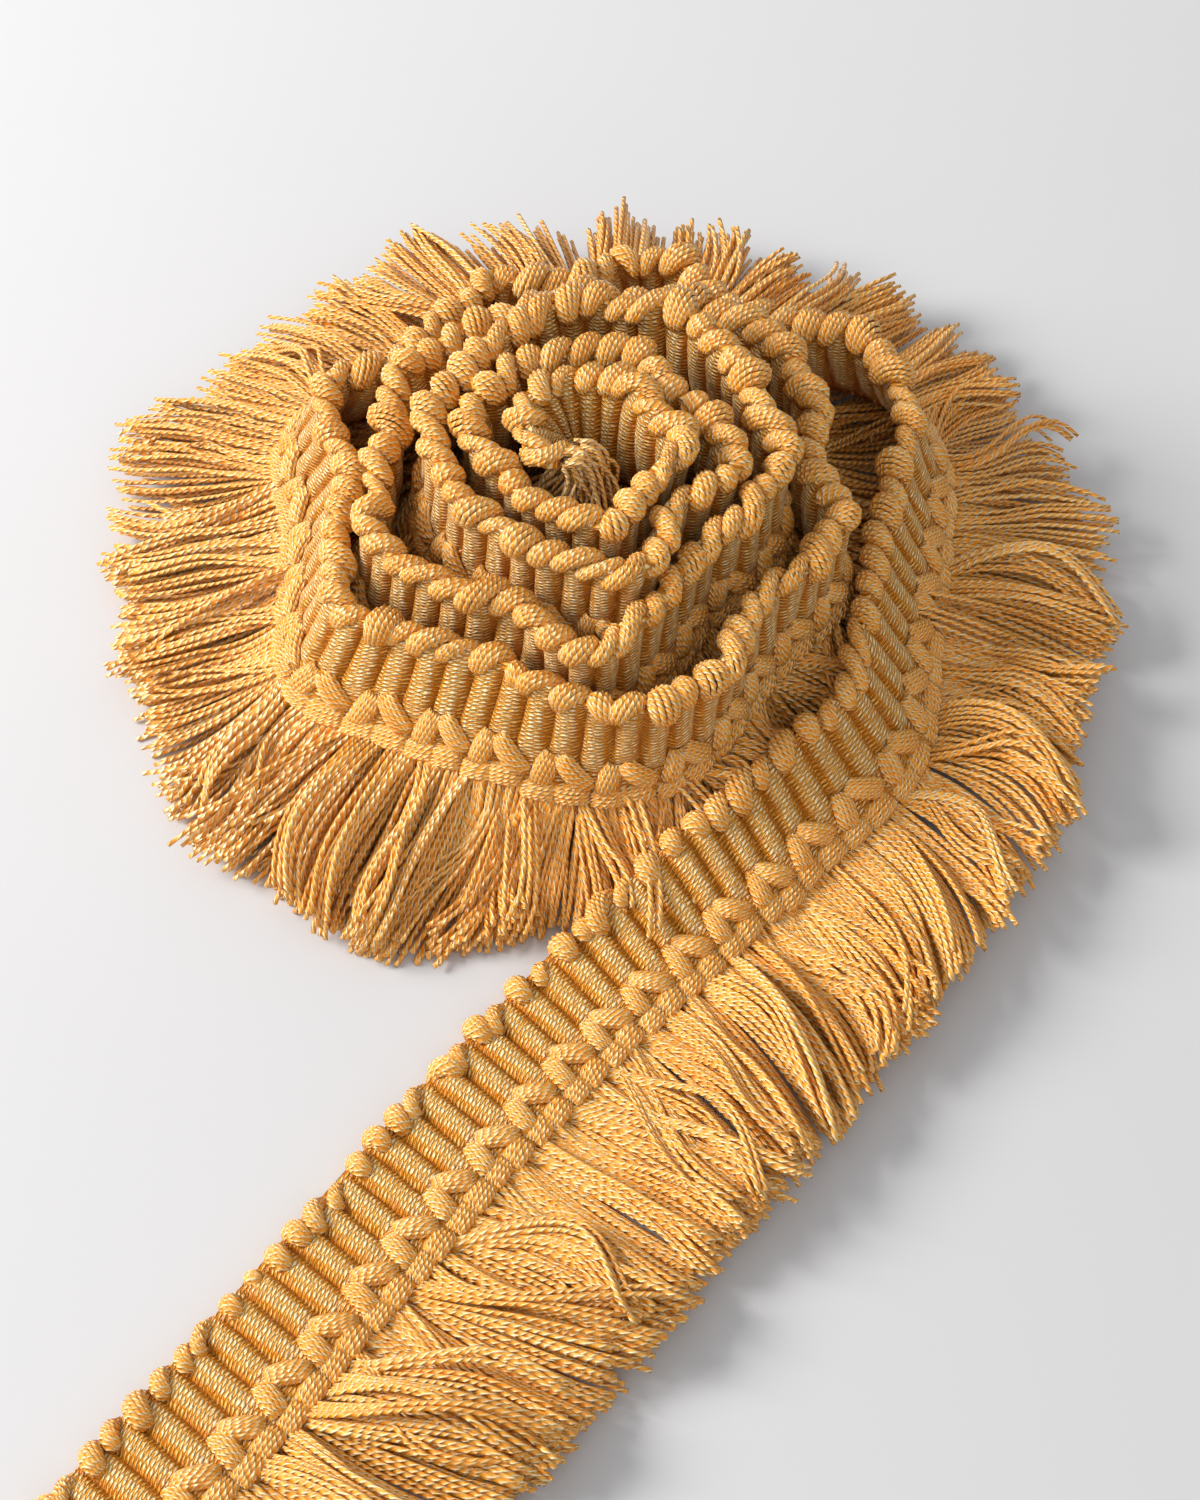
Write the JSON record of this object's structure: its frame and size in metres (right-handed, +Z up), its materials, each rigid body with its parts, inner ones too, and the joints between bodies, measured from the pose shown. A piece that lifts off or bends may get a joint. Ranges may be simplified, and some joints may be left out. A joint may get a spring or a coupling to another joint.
{
  "type": "wound cord fringe trim",
  "caption": "Ribbed woven heading with a looped edge and a thick cut fringe, wound into a loose roll that stands on its fringe, with the loose end lying flat.",
  "frame": {"origin": "on the floor, below the middle of the whole object's box", "axes": "+Z up from the floor, +Y from the cut end of the loose tail towards the back of the roll, +X to the right"},
  "size_m": [0.1329, 0.2224, 0.0369],
  "materials": {
    "heading_yarn": "golden ochre yarn, woven in fine ribs, satin",
    "fringe_yarn": "golden ochre twisted yarn, satin"
  },
  "bodies": {
    "root": {"heading": "heading_yarn", "fringe_tail": "fringe_yarn", "fringe_skirt": "fringe_yarn", "fringe_inner": "fringe_yarn"}
  },
  "joints": []
}
